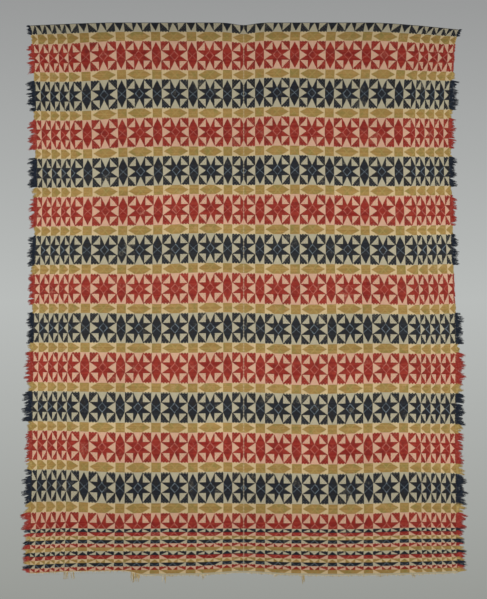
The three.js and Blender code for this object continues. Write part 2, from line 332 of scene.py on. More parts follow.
# Outlines of single floats: where they run, and half their width
STAR_OUTLINE = 0.31, 0.026
LENS_CROSS = 0.28, 0.016
DIAMOND_CROSS = 3.0, 0.13
BLOCK_CROSS = 0.07
OUTLINE_SHOWS = 0.62
# The blocks that the shed makes: every slanting edge goes in steps of this many millimetres.
BLOCK_ACROSS = 2.2
BLOCK_DOWN = 2.4
# Dotted corners: floats of the ground's cotton a few picks apart.
DOT_ACROSS = 6 * BLOCK_ACROSS
DOT_DOWN = 6 * BLOCK_DOWN
# What light has done: the weft's colour lost at the middle. Painted shade: both ends darkened, and the top
# edge over the rod darker still, where less light falls on the cloth.
FADING = 0.015
# Painted shade, not dust: how much of the cloth's brightness is kept at the top edge, at the foot and over
# the rod.
PAINTED_SHADE_AT_TOP = 0.82
PAINTED_SHADE_AT_FOOT = 0.79
PAINTED_SHADE_OVER_ROD = 0.79
# Real picks are about 1.2 mm apart; they are drawn at 6 mm, coarse enough to show.
PICK = 6.0

# Each wool: well dyed, where it took the dye less, and the cast that it has turned to in places.
NAVY = ("#161a24", "#272b31", "#26211d")  # indigo
RED = ("#8b1b15", "#a33b2d", "#731f1a")  # madder
OLIVE = ("#99783f", "#b38f54", "#8a7f43")  # weld and madder over indigo
GROUND = {"navy": "#b7ae93", "red": "#d5a98d", "olive": "#d2b98c"}  # undyed cotton, tinted by its weft
LINE = {"navy": "#8595a0", "red": "#cc8473", "olive": "#ae9558"}  # single floats that outline the figures


def across_warp(t, u):
    """Where a thread lies in the threading: from 0 at a star's middle to 1 at its side, from 0 at a
    lens's middle to 1 at its side, and whether it is a lens."""
    first_lens = SEAM_STAR / MM
    lens_end = LENS / MM
    period = (STAR + LENS) / MM
    half_star = first_lens + (LENSES - 1) * period + lens_end
    narrow_stars = half_star + HALF_STAR_WIDTH / MM
    narrow = NARROW_STAR / MM
    past = maths(t, "SUBTRACT", u, first_lens)
    place = maths(t, "WRAP", past, period, 0.0)
    is_lens = maths(t, "LESS_THAN", place, lens_end)
    lens = put(t, "MapRange", place, 0.0, lens_end, -1.0, 1.0, clamp=False)
    lens = maths(t, "ABSOLUTE", lens)
    star = put(t, "MapRange", place, lens_end, period, -1.0, 1.0, clamp=False)
    star = maths(t, "ABSOLUTE", star)
    half = put(t, "MapRange", u, half_star, narrow_stars, 1.0, 0.0)
    past = maths(t, "SUBTRACT", u, narrow_stars)
    place = maths(t, "WRAP", past, narrow, 0.0)
    bend = narrow * NARROW_OUTER_SHARE
    outer = put(t, "MapRange", place, 0.0, bend, 1.0, THIRD)
    inner = put(t, "MapRange", place, bend, narrow, 0.0, -THIRD)
    narrowed = maths(t, "ADD", outer, inner)
    in_half = maths(t, "GREATER_THAN", u, half_star)
    in_narrow = maths(t, "GREATER_THAN", u, narrow_stars)
    star = choose(t, in_half, star, half)
    star = choose(t, in_narrow, star, narrowed)
    is_lens = maths(t, "SUBTRACT", is_lens, in_half, use_clamp=True)
    return star, lens, is_lens


def down_weft(t, v):
    """The same down the cloth, with diamonds for lenses, and whether the pick is red, olive or plain."""
    top = TOP_BAND / MM
    repeat = REPEAT / MM
    diamond_end = DIAMOND_BAND / MM
    border = BORDER / MM
    past = maths(t, "SUBTRACT", v, top)
    place = maths(t, "WRAP", past, repeat, 0.0)
    is_diamond = maths(t, "LESS_THAN", place, diamond_end)
    diamond = put(t, "MapRange", place, 0.0, diamond_end, -1.0, 1.0, clamp=False)
    diamond = maths(t, "ABSOLUTE", diamond)
    star = put(t, "MapRange", place, diamond_end, repeat, -1.0, 1.0, clamp=False)
    star = maths(t, "ABSOLUTE", star)
    row = maths(t, "DIVIDE", past, repeat)
    row = maths(t, "FLOOR", row)
    is_navy = maths(t, "FLOORED_MODULO", row, 2.0)
    is_red = maths(t, "SUBTRACT", 1.0, is_navy)

    in_border = maths(t, "GREATER_THAN", v, border)
    count = put(t, "MapRange", v, border, border + BORDER_ROW / MM, 0.0, 1.0, clamp=False)
    place = maths(t, "WRAP", count, 2.0, 0.0)
    outer = put(t, "MapRange", place, 0.0, 1.0, 1.0, THIRD)
    inner = put(t, "MapRange", place, 1.0, 2.0, 0.0, -THIRD)
    narrowed = maths(t, "ADD", outer, inner)
    number = maths(t, "FLOOR", count)
    number = maths(t, "FLOORED_MODULO", number, 3.0)
    border_red = maths(t, "COMPARE", number, 1.0, 0.1)
    border_olive = maths(t, "COMPARE", number, 2.0, 0.1)

    star = choose(t, in_border, star, narrowed)
    is_red = choose(t, in_border, is_red, border_red)
    is_olive = choose(t, in_border, is_diamond, border_olive)
    is_diamond = maths(t, "SUBTRACT", is_diamond, in_border, use_clamp=True)
    is_plain = maths(t, "GREATER_THAN", v, (CLOTH_DROP - END_STRIP) / MM)
    return star, diamond, is_diamond, is_red, is_olive, is_plain


def figure_of(t, u, v, across, down):
    """Where the coloured weft floats on the face, from 0 to 1, and where its outlines are."""
    a, lens, is_lens = across
    b, diamond, is_diamond = down[:3]
    up_slope = (1 - UP_WEDGE) / RAY_WIDTH
    side_slope = (1 - SIDE_WEDGE) / RAY_WIDTH
    wave_across = maths(t, "MULTIPLY", u, 2 * math.pi / DOT_ACROSS)
    wave_across = maths(t, "COSINE", wave_across)
    wave_down = maths(t, "MULTIPLY", v, 2 * math.pi / DOT_DOWN)
    wave_down = maths(t, "COSINE", wave_down)
    dots = maths(t, "MULTIPLY", wave_across, wave_down)
    above_border = maths(t, "LESS_THAN", v, BORDER / MM)
    dots = maths(t, "MULTIPLY", dots, above_border)

    near_a = maths(t, "LESS_THAN", a, RAY_WIDTH)
    near_b = maths(t, "LESS_THAN", b, RAY_WIDTH)
    up_ray = maths(t, "MULTIPLY_ADD", a, up_slope, UP_WEDGE)
    up_ray = maths(t, "GREATER_THAN", up_ray, b)
    side_ray = maths(t, "MULTIPLY_ADD", b, side_slope, SIDE_WEDGE)
    side_ray = maths(t, "GREATER_THAN", side_ray, a)
    sum_ab = maths(t, "ADD", a, b)
    outer_half = maths(t, "GREATER_THAN", sum_ab, 1 + RAY_WIDTH - CORNER_FULLNESS)
    dark_dotted = put(t, "MapRange", dots, 0.60, 0.95, 1.0, 0.60)
    pale_dotted = put(t, "MapRange", dots, 0.50, 0.90, 0.0, 0.75)
    corner = choose(t, outer_half, pale_dotted, dark_dotted)
    star = choose(t, near_b, corner, side_ray)
    star = choose(t, near_a, star, up_ray)
    toothed = maths(t, "MULTIPLY_ADD", wave_across, TOOTH, b)
    toothed = maths(t, "LESS_THAN", toothed, 1 - TOOTH / 2)
    star = maths(t, "MULTIPLY", star, toothed)

    wide = choose(t, is_lens, diamond, lens)
    long = choose(t, is_lens, a, b)
    pointed = maths(t, "MULTIPLY_ADD", wide, POINT_END - THIRD, long)
    pointed = maths(t, "LESS_THAN", pointed, POINT_END)
    block = maths(t, "MULTIPLY", is_lens, is_diamond)
    pointed = maths(t, "MAXIMUM", pointed, block)
    not_star = maths(t, "MAXIMUM", is_lens, is_diamond)
    figure = choose(t, not_star, star, pointed)
    # Pale warp shows beside the seam and along the selvedge, and the top edge is bound in navy.
    past_seam = maths(t, "GREATER_THAN", u, SEAM_MARGIN)
    inside_edge = maths(t, "LESS_THAN", u, PANEL_WIDTH / MM - EDGE_MARGIN)
    clear = maths(t, "MULTIPLY", past_seam, inside_edge)
    half_bare = put(t, "MapRange", dots, -0.3, 0.1, 0.85, 0.30)
    clear = maths(t, "MAXIMUM", clear, half_bare)
    figure = maths(t, "MULTIPLY", figure, clear)
    bound = maths(t, "LESS_THAN", v, TOP_BINDING)
    figure = maths(t, "MAXIMUM", figure, bound)

    star_line = maths(t, "COMPARE", sum_ab, *STAR_OUTLINE)
    lens_slope = maths(t, "MULTIPLY", lens, LENS_CROSS[0])
    lens_line = maths(t, "COMPARE", b, lens_slope, LENS_CROSS[1])
    steep = maths(t, "MULTIPLY", a, DIAMOND_CROSS[0])
    diamond_line = maths(t, "COMPARE", diamond, steep, DIAMOND_CROSS[1])
    block_line = maths(t, "COMPARE", lens, diamond, BLOCK_CROSS)
    on_star = choose(t, is_diamond, star_line, diamond_line)
    on_lens = choose(t, is_diamond, lens_line, block_line)
    lines = choose(t, is_lens, on_star, on_lens)
    return figure, lines


def woven_cloth(name, reverse=False):
    """Overshot-like coverlet cloth: undyed cotton ground under dyed wool weft, matt and slightly
    ribbed. The back shows the same figures with colour and ground exchanged."""
    material, t = new_material(name)
    uv = put(t, "UVMap", uv_map="weave")
    flat = put(t, "SeparateXYZ", uv, out=0)
    u = maths(t, "SNAP", flat, BLOCK_ACROSS)
    v = maths(t, "SNAP", flat.node.outputs[1], BLOCK_DOWN)
    down = down_weft(t, v)
    is_red, is_olive, is_plain = down[3:]
    figure, lines = figure_of(t, u, v, across_warp(t, u), down)
    if reverse:
        figure = maths(t, "SUBTRACT", 1.0, figure)
    figure = maths(t, "SUBTRACT", figure, is_plain, use_clamp=True)

    place = put(t, "TexCoord", out=3)
    stretched = put(t, "Mapping", place, at={"Scale": (3.0, 1.0, 120.0)})
    streaks = mottle(t, stretched, 1.0, 3.0, 0.65)
    streaks = put(t, "MapRange", streaks, 0.36, 0.66, 0.0, 1.0)
    patches = mottle(t, place, 4.5, 4.0, 0.6)
    fibres = mottle(t, place, 260.0, 2.0, 0.7)

    down_share = put(t, "MapRange", v, 0.0, CLOTH_DROP / MM, -1.0, 1.0)
    from_middle = maths(t, "ABSOLUTE", down_share)
    faded_middle = put(t, "MapRange", from_middle, 0.15, 0.85, FADING, 0.0)
    worn = mottle(t, place, 14.0, 5.0, 0.65)
    worn = put(t, "MapRange", worn, 0.58, 0.72, 0.0, 0.34)
    picks = mottle(t, place, 170.0, 1.0)
    picks = put(t, "MapRange", picks, 0.42, 0.58, 0.0, 1.0)
    worn = maths(t, "MULTIPLY", worn, picks)
    lost = maths(t, "MAXIMUM", worn, faded_middle)
    kept = maths(t, "SUBTRACT", 1.0, lost)
    figure = maths(t, "MULTIPLY", figure, kept)

    turned = mottle(t, place, 34.0, 4.0, 0.7)
    turned = put(t, "MapRange", turned, 0.46, 0.66, 0.0, 0.75)
    dyed = {}
    for dye, (full, faded, cast) in {"navy": NAVY, "red": RED, "olive": OLIVE}.items():
        shade = blend(t, streaks, linear(full), linear(faded))
        dyed[dye] = blend(t, turned, shade, linear(cast))

    def by_band(colours):
        warm = blend(t, is_red, colours["navy"], colours["red"])
        return blend(t, is_olive, warm, colours["olive"])

    ground = by_band({band: linear(code) for band, code in GROUND.items()})
    wool = by_band(dyed)
    outline = by_band({band: linear(code) for band, code in LINE.items()})
    showing = maths(t, "MULTIPLY", lines, 0.0 if reverse else OUTLINE_SHOWS)
    wool = blend(t, showing, wool, outline)
    colour = blend(t, figure, ground, wool)
    soil = put(t, "MapRange", patches, 0.3, 0.7, 0.92, 1.06)
    # Painted shade: darker towards the top edge, over the rod and towards the foot, where less light falls.
    # From here soil carries this painted shade as well as its soiled patches.
    painted_shade_top = put(t, "MapRange", down_share, -1.0, -0.3, PAINTED_SHADE_AT_TOP, 1.0)
    painted_shade_foot = put(t, "MapRange", down_share, 0.5, 1.0, 1.0, PAINTED_SHADE_AT_FOOT)
    painted_shade_rod = put(t, "MapRange", v, 20.0, 110.0, PAINTED_SHADE_OVER_ROD, 1.0)
    soil = maths(t, "MULTIPLY", soil, painted_shade_top)
    soil = maths(t, "MULTIPLY", soil, painted_shade_rod)
    soil = maths(t, "MULTIPLY", soil, painted_shade_foot)
    grain = put(t, "MapRange", fibres, 0.25, 0.75, 0.86, 1.12)
    tone = maths(t, "MULTIPLY", soil, grain)
    colour = blend(t, 1.0, colour, tone, blend_type="MULTIPLY")

    ribs = maths(t, "MULTIPLY", flat.node.outputs[1], 2 * math.pi / PICK)
    ribs = maths(t, "SINE", ribs)
    ends = maths(t, "MULTIPLY", flat, 2 * math.pi / PICK)
    ends = maths(t, "SINE", ends)
    weave = maths(t, "MULTIPLY", ribs, ends)
    lofty = maths(t, "MULTIPLY_ADD", figure, 1.6, weave)
    lofty = maths(t, "MULTIPLY_ADD", fibres, 1.5, lofty)
    bump = put(t, "Bump", at={"Height": lofty, "Strength": 0.5, "Distance": 0.0005})
    rough = put(t, "MapRange", figure, 0.0, 1.0, 0.86, 0.96)
    look = {
        "Base Color": colour,
        "Roughness": rough,
        "Specular IOR Level": 0.25,
        "Sheen Weight": 0.06,
        "Sheen Roughness": 0.5,
        "Normal": bump,
    }
    finish_with(t, put(t, "BsdfPrincipled", at=look))
    return material


def wool_yarn(name, full, faded):
    """Carded wool weft ends: soft matt yarn, paler where it is worn."""
    material, t = new_material(name)
    place = put(t, "TexCoord", out=3)
    worn = mottle(t, place, 90.0, 3.0, 0.7)
    worn = put(t, "MapRange", worn, 0.35, 0.7, 0.0, 1.0)
    colour = blend(t, worn, linear(full), linear(faded))
    twist = mottle(t, place, 1400.0, 2.0)
    bump = put(t, "Bump", at={"Height": twist, "Strength": 0.4, "Distance": 0.0004})
    look = {
        "Base Color": colour,
        "Roughness": 0.95,
        "Specular IOR Level": 0.2,
        "Sheen Weight": 0.08,
        "Normal": bump,
    }
    finish_with(t, put(t, "BsdfPrincipled", at=look))
    return material


CLOTH_FACE = woven_cloth("coverlet_cloth_face")
CLOTH_REVERSE = woven_cloth("coverlet_cloth_reverse", reverse=True)
NAVY_WOOL = wool_yarn("indigo_wool_yarn", "#10151f", "#252d3a")
RED_WOOL = wool_yarn("madder_wool_yarn", "#871f19", "#a8473b")
OLIVE_WOOL = wool_yarn("olive_wool_yarn", "#8f7638", "#c0a468")
COTTON_YARN = wool_yarn("undyed_cotton_yarn", "#b8a684", "#d6c8a8")
YARNS = [NAVY_WOOL, RED_WOOL, OLIVE_WOOL, COTTON_YARN]

# ---- the two panels --------------------------------------------------------------------------------

PANEL_COLUMNS = 64
PANEL_ROWS = 170


def flat_sheet(across, drops, columns, rows, thick):
    """A closed flat sheet on the cloth's own measures: X across a panel, Z down it, Y through it."""
    bm = bmesh.new()
    bmesh.ops.create_grid(bm, x_segments=columns, y_segments=rows, size=0.5)
    stretch = Matrix.Diagonal((across[1] - across[0], drops[1] - drops[0], 1, 1))
    bmesh.ops.transform(bm, matrix=stretch, verts=bm.verts)
    middle = Vector((sum(across) / 2, sum(drops) / 2, 0))
    bmesh.ops.translate(bm, vec=middle, verts=bm.verts)
    bmesh.ops.solidify(bm, geom=bm.faces[:], thickness=thick)
    return bm


def taken_up(side, across, drop):
    """A drop in the border, moved up by its share of what the foot hem takes in."""
    below = max(drop - BORDER, 0) / (CLOTH_DROP - BORDER)
    return drop - below * (CLOTH_DROP - foot_drop(side, across))


def lay_on_cloth(bm, side, behind, thick, bake_share=1.0):
    """Gives a flat sheet its weave coordinates and its bake layout, then hangs it. The face layer lies
    at the far side of its thickness, and the layer behind gets the second material."""
    weave = bm.loops.layers.uv.new("weave")
    bake = bm.loops.layers.uv.new("OFBake")
    depths = [v.co.z for v in bm.verts]
    shallow, deep = min(depths), max(depths)
    widest = max(v.co.x for v in bm.verts)
    start = min(v.co.y for v in bm.verts)
    length = max(v.co.y for v in bm.verts) - start
    for face in bm.faces:
        level = sum(v.co.z for v in face.verts) / len(face.verts)
        is_back = level > (shallow + deep) / 2 + thick / 4
        face.material_index = 1 if is_back else 0
        face.smooth = True
        for loop in face.loops:
            across, drop, _ = loop.vert.co
            drop = taken_up(side, across, drop)
            loop[weave].uv = (across / MM, drop / MM)
            column = 0.02 + 0.46 * across / widest + (0.5 if is_back else 0)
            loop[bake].uv = (column, 0.01 + 0.98 * (drop - start) / length * bake_share)
    for vert in bm.verts:
        across, drop, depth = vert.co
        drop = taken_up(side, across, drop)
        back = behind + (depth - shallow) / (deep - shallow) * thick
        vert.co = cloth_point(side, across, drop, behind=back)
    bmesh.ops.recalc_face_normals(bm, faces=bm.faces)


def woven_panel(side):
    bm = flat_sheet((0, PANEL_WIDTH), (0, CLOTH_DROP), PANEL_COLUMNS, PANEL_ROWS, CLOTH_THICK)
    lay_on_cloth(bm, side, -CLOTH_THICK / 2, CLOTH_THICK)
    return make_piece(f"{side}_panel_cloth", bm, [CLOTH_FACE, CLOTH_REVERSE], smooth_angle=50)


panels = {}
for side in SIDES:
    panels[side] = woven_panel(side)
    stands_for(panels[side], "coverlet", "star_cloth", f"{side}_panel")

# ---- yarn ends: the fringe and the loose warp at the foot --------------------------------------------

YARN_RADIUS = 1.35 * MM
FRINGE_LENGTH = 49 * MM
TUFT_PITCH = 7 * MM
CLUMP_LENGTH = 53 * MM  # longer tufts come about this far apart
ENDS_IN_TUFT = 12
# How much of its length each section's fringe has kept, from the top down: its star row, and the
# diamonds above that.
STAR_FRINGE = {
    "left": (0.45, 0.65, 0.85, 0.8, 0.85, 0.75, 0.75, 0.6, 0.65, 0.8, 0.95, 0.65, 0.85, 0.95),
    "right": (0.3, 0.15, 0.85, 0.65, 0.7, 0.65, 0.65, 0.1, 0.8, 0.9, 0.95, 0.85, 1.0, 1.0),
}
DIAMOND_FRINGE = {
    "left": (0.1, 0.08, 0.25, 0.15, 0.5, 0.2, 0.35, 0.15, 0.5, 0.5, 0.5, 0.55, 0.6),
    "right": (0.05, 0.35, 0.35, 0.25, 0.15, 0.2, 0.08, 0.1, 0.35, 0.7, 0.7, 0.85, 0.9),
}
BORDER_FRINGE = {"left": 0.7, "right": 0.85}


def yarn_at(drop):
    """Which yarn the weft is at a drop: 0 navy, 1 red, 2 olive, 3 undyed."""
    if drop >= CLOTH_DROP - END_STRIP:
        return 3
    if drop >= BORDER:
        return int((drop - BORDER) / BORDER_ROW) % 3
    row, place = divmod(drop - TOP_BAND, REPEAT)
    if place < DIAMOND_BAND:
        return 2
    return 0 if row % 2 else 1


APART = 4  # the straight ends that a tuft is copied from stand this far apart


class YarnBundle:
    """A mesh of many yarn ends. Tufts of straight ends, each 1 long, are copied and then bent."""

    def __init__(self, ends):
        self.bm = bmesh.new()
        for i in range(ends):
            end = bmesh.ops.create_cone(
                self.bm, cap_ends=True, segments=5, radius1=1, radius2=1, depth=1
            )["verts"]
            bmesh.ops.translate(self.bm, vec=(APART * i, 0, 0.5), verts=end)
        for cut in (0.2, 0.45, 0.72):
            geom = self.bm.verts[:] + self.bm.edges[:] + self.bm.faces[:]
            bmesh.ops.bisect_plane(self.bm, geom=geom, plane_co=(0, 0, cut), plane_no=(0, 0, 1))
        self.pattern = self.bm.verts[:] + self.bm.edges[:] + self.bm.faces[:]

    def add(self, ends, yarn, taper=0.65):
        """ends gives each end's line and radius, where line(t) is the end's middle from its root,
        t = 0, to its tip, t = 1."""
        rings = {}
        for part in bmesh.ops.duplicate(self.bm, geom=self.pattern)["geom"]:
            if isinstance(part, bmesh.types.BMVert):
                number = round(part.co.x / APART)
                t = part.co.z
                ring = (number, round(t, 2))
                if ring not in rings:
                    line, radius = ends[number]
                    ahead = (line(min(t + 0.05, 1)) - line(max(t - 0.05, 0))).normalized()
                    aside = ahead.cross(Vector((0, 1, 0))).normalized()
                    width = radius * (1 - taper * t**1.5)
                    rings[ring] = line(t), aside * width, aside.cross(ahead) * width
                middle, aside, front = rings[ring]
                part.co = middle + aside * (part.co.x - APART * number) + front * part.co.y
            elif isinstance(part, bmesh.types.BMFace):
                part.material_index = yarn
                part.smooth = True

    def piece(self, name, materials):
        pattern = [part for part in self.pattern if isinstance(part, bmesh.types.BMVert)]
        bmesh.ops.delete(self.bm, geom=pattern, context="VERTS")
        bmesh.ops.recalc_face_normals(self.bm, faces=self.bm.faces)
        return make_piece(name, self.bm, materials)


def fringe_sections():
    """The drops between which each fringe section lies, one for each star row with its diamonds."""
    rows = [FIRST_ROW + row * REPEAT for row in range(STAR_ROWS + 1)]
    cuts = [0, *rows, BORDER, CLOTH_DROP]
    return list(zip(cuts, cuts[1:]))


def fullness(side, drop):
    """The share of its length that the fringe has kept at a drop."""
    if drop >= BORDER:
        return BORDER_FRINGE[side]
    row, place = divmod(drop - TOP_BAND, REPEAT)
    if place < DIAMOND_BAND:
        return DIAMOND_FRINGE[side][int(row)]
    return STAR_FRINGE[side][int(row) + 1]


def fringe_tuft(side, drop, full, draw):
    """A few weft ends that leave the selvedge side by side and close up towards their tip."""
    clump = 0.9 + 0.18 * math.sin(2 * math.pi * drop / CLUMP_LENGTH + 9 * full)
    reach = FRINGE_LENGTH * full * clump * draw.uniform(0.8, 1.1)
    if draw.random() < 0.14 * (1.5 - full):
        reach *= 0.45
    fall = draw.gauss(0.08, 0.16 - 0.08 * min(full, 1))
    ends = []
    for i in range(ENDS_IN_TUFT):
        spread = (i + draw.random()) / ENDS_IN_TUFT - 0.5
        root = drop + 1.7 * spread * TUFT_PITCH
        tip = drop + reach * fall + (0.9 * spread + draw.uniform(-0.4, 0.4)) * TUFT_PITCH
        length = 3 * MM + reach * draw.uniform(0.5 + 0.28 * full**3, 1.0)
        lift = draw.uniform(-2.0, 2.2) * MM
        kink = draw.uniform(-1.0, 1.0) * MM

        def line(t, root=root, tip=tip, length=length, lift=lift, kink=kink):
            sway = kink * math.sin(math.pi * t * 1.6)
            fallen = root + (tip - root) * t**1.4 + 0.06 * length * t * t + sway
            forward = lift * t * t
            return cloth_point(side, PANEL_WIDTH, fallen, out=length * t - 2.5 * MM, behind=forward)

        ends.append((line, YARN_RADIUS * draw.uniform(0.75, 1.15)))
    return ends


def fringe_section(side, number, upper, lower):
    draw = random.Random(f"{side} {number}")
    bundle = YarnBundle(ENDS_IN_TUFT)
    tufts = round((lower - upper) / TUFT_PITCH)
    for i in range(tufts):
        drop = upper + (i + 0.5) * (lower - upper) / tufts
        full = fullness(side, drop)
        if draw.random() < 0.97 and drop < foot_drop(side, PANEL_WIDTH) - TUFT_PITCH / 2:
            bundle.add(fringe_tuft(side, drop, full, draw), yarn_at(drop))
    return bundle.piece(f"{side}_fringe_{number:02d}_yarn", YARNS)


fringes = {side: [] for side in SIDES}
FRINGE_SLOTS = ["navy_yarn", *["red_yarn", "navy_yarn"] * (STAR_ROWS // 2), "red_yarn", "border_yarn"]
for side in SIDES:
    for number, (upper, lower) in enumerate(fringe_sections(), start=1):
        fringe = fringe_section(side, number, upper, lower)
        node = f"{side}_fringe_{number:02d}"
        stands_for(fringe, "coverlet", FRINGE_SLOTS[number - 1], node)
        fringes[side].append(fringe)


# Clumps of warp ends: panel, distance from the seam, how many, and how long, in mm
WARP_CLUMPS = (
    ("left", 790, 7, 30),
    ("left", 762, 6, 36),
    ("left", 487, 18, 40),
    ("left", 470, 16, 32),
    ("left", 345, 5, 34),
    ("left", 182, 6, 20),
    ("right", 145, 4, 16),
    ("right", 268, 7, 36),
    ("right", 600, 3, 12),
    ("right", 760, 4, 16),
)
FOLD_YARNS = 24  # undyed yarns that show along the worn fold of each panel's foot


def loose_warp_ends():
    """Warp threads that have worked out of the foot hem: a thin fuzz all along, a few clumps, and the
    undyed yarn that shows where the fold has worn."""
    draw = random.Random("warp ends")
    bundle = YarnBundle(1)
    threads = [(side, draw.uniform(0.02, 0.99) * PANEL_WIDTH, 6, 2) for side in SIDES for _ in range(120)]
    for side, across, count, length in WARP_CLUMPS:
        threads += [(side, (across + draw.gauss(0, 6)) * MM, length, 7) for _ in range(count)]
    for side, across, longest, stray in threads:
        length = longest * draw.uniform(0.45, 1.15) * MM
        bend = draw.uniform(-1, 1) * stray * MM
        yarn = draw.choice([2, 2, 3])
        fold = foot_drop(side, across)

        def line(t, side=side, across=across, length=length, bend=bend, fold=fold):
            drop = fold - 3 * MM + (length + 3 * MM) * t
            return cloth_point(side, across + bend * t * t, drop, behind=-1.2 * MM * t)

        bundle.add([(line, 0.95 * YARN_RADIUS)], yarn, taper=0.4)
    for side in SIDES:
        for i in range(FOLD_YARNS):
            start = max((i + draw.uniform(-0.2, 0.1)) * PANEL_WIDTH / FOLD_YARNS, 0)
            run = min(PANEL_WIDTH / FOLD_YARNS * draw.uniform(1.05, 1.25), PANEL_WIDTH - start)

            def edge(t, side=side, start=start, run=run):
                across = start + run * t
                return cloth_point(side, across, foot_drop(side, across) - 0.6 * MM, behind=-CLOTH_THICK / 2)

            bundle.add([(edge, YARN_RADIUS)], 3, taper=0.3)
    return bundle.piece("foot_warp_ends", YARNS)


warp_ends = loose_warp_ends()
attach(warp_ends, "coverlet")

# ---- sewing thread, seam and hems --------------------------------------------------------------------


def linen_thread():
    """Waxed two-ply linen, a little shiny, darker between its turns."""
    material, t = new_material("waxed_linen_thread")
    place = put(t, "TexCoord", out=3)
    soil = mottle(t, place, 55.0, 3.0)
    soil = put(t, "MapRange", soil, 0.35, 0.7, 0.0, 1.0)
    colour = blend(t, soil, linear("#a69b74"), linear("#776d4c"))
    ply = mottle(t, place, 1800.0, 1.0)
    bump = put(t, "Bump", at={"Height": ply, "Strength": 0.3, "Distance": 0.0003})
    look = {"Base Color": colour, "Roughness": 0.7, "Specular IOR Level": 0.35, "Normal": bump}
    finish_with(t, put(t, "BsdfPrincipled", at=look))
    return material


LINEN_THREAD = linen_thread()
SEAM_THREAD = 0.6 * MM
SEAM_TURNS = 13  # whipped first, then repeated by doubling
SEAM_DOUBLINGS = 5
STITCH_STEPS = 8


def seam_thread():
    """One thread whipped over both edges from top to foot: a flattened coil that follows the cloth."""
    length = SEAM[1].z - SEAM[0].z
    first = length / 2**SEAM_DOUBLINGS
    reach_across = 1.8 * MM
    reach_through = (SEAM[1].y - SEAM[0].y) / 2
    steps = SEAM_TURNS * STITCH_STEPS
    bm = bmesh.new()
    ring = bmesh.ops.create_circle(bm, segments=6, radius=SEAM_THREAD)["verts"]
    bmesh.ops.rotate(bm, verts=ring, cent=(0, 0, 0), matrix=Matrix.Rotation(math.pi / 2, 3, "X"))
    bmesh.ops.translate(bm, verts=ring, vec=(reach_across, 0, 0))
    bmesh.ops.spin(
        bm,
        geom=bm.verts[:] + bm.edges[:],
        cent=(0, 0, 0),
        axis=(0, 0, 1),
        dvec=(0, 0, first / steps),
        angle=2 * math.pi * SEAM_TURNS,
        steps=steps,
        use_duplicate=False,
    )
    for doubling in range(SEAM_DOUBLINGS):
        copied = bmesh.ops.duplicate(bm, geom=bm.verts[:] + bm.edges[:] + bm.faces[:])["geom"]
        verts = [part for part in copied if isinstance(part, bmesh.types.BMVert)]
        bmesh.ops.translate(bm, verts=verts, vec=(0, 0, first * 2**doubling))
    bmesh.ops.remove_doubles(bm, verts=bm.verts, dist=0.02 * MM)
    bmesh.ops.holes_fill(bm, edges=[edge for edge in bm.edges if edge.is_boundary], sides=6)
    for vert in bm.verts:
        x, y, drop = vert.co
        laid = cloth_point("right", 0, drop, behind=y * reach_through / reach_across)
        vert.co = Vector((x + 0.6 * MM * math.sin(17 * drop), laid.y, laid.z))
    for face in bm.faces:
        face.smooth = True
    bmesh.ops.recalc_face_normals(bm, faces=bm.faces)
    return make_piece("seam_whip_stitches", bm, [LINEN_THREAD])


seam = seam_thread()
stands_for(seam, "coverlet", "linen_thread", "seam_stitching")

HEM_DEPTH = 12 * MM
HEM_STITCH_PITCH = 9 * MM


def stitch_row(bm, place, count, slant, material_index):
    """Short slanting stitches, each a tilted cone of thread, at place(share) along a seam."""
    for i in range(count):
        root, along, outward = place((i + 0.5) / count)
        stitch = bmesh.ops.create_cone(
            bm, cap_ends=True, segments=6, radius1=0.55 * MM, radius2=0.55 * MM, depth=1
        )["verts"]
        turned = (along * slant + Vector((0, 0, slant))).to_track_quat("Z", "Y").to_matrix()
        length = 1.4 * slant
        for vert in stitch:
            x, y, z = vert.co
            raised = outward * 0.35 * MM
            vert.co = root + raised + turned @ Vector((x, y, z * length))
        faces = {face for vert in stitch for face in vert.link_faces}
        for face in faces:
            face.material_index = material_index
            face.smooth = True


def turned_hem(side, where):
    """The edge turned to the back and hemmed down, so that it shows the cloth's face."""
    low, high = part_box(f"{side}_{where}_hem")
    thick = high.y - low.y
    drops = (0, HEM_DEPTH) if where == "top" else (CLOTH_DROP - HEM_DEPTH, CLOTH_DROP)
    bm = flat_sheet((0, PANEL_WIDTH), drops, PANEL_COLUMNS, 3, thick)
    lay_on_cloth(bm, side, low.y - CLOTH_MID, thick)
    raw_edge = drops[1] if where == "top" else drops[0]

    def place(share):
        root = cloth_point(side, share * PANEL_WIDTH, raw_edge, behind=high.y - CLOTH_MID)
        return root, Vector((1, 0, 0)), Vector((0, 1, 0))

    stitch_row(bm, place, round(PANEL_WIDTH / HEM_STITCH_PITCH), 3.2 * MM, 2)
    materials = [CLOTH_REVERSE, CLOTH_FACE, LINEN_THREAD]
    return make_piece(f"{side}_{where}_hem_fold", bm, materials, smooth_angle=50)


hems = {side: [] for side in SIDES}
for side in SIDES:
    for where in ("top", "bottom"):
        hem = turned_hem(side, where)
        stands_for(hem, "coverlet", "star_cloth", f"{side}_{where}_hem")
        hems[side].append(hem)

# ---- the hanging sleeve ------------------------------------------------------------------------------


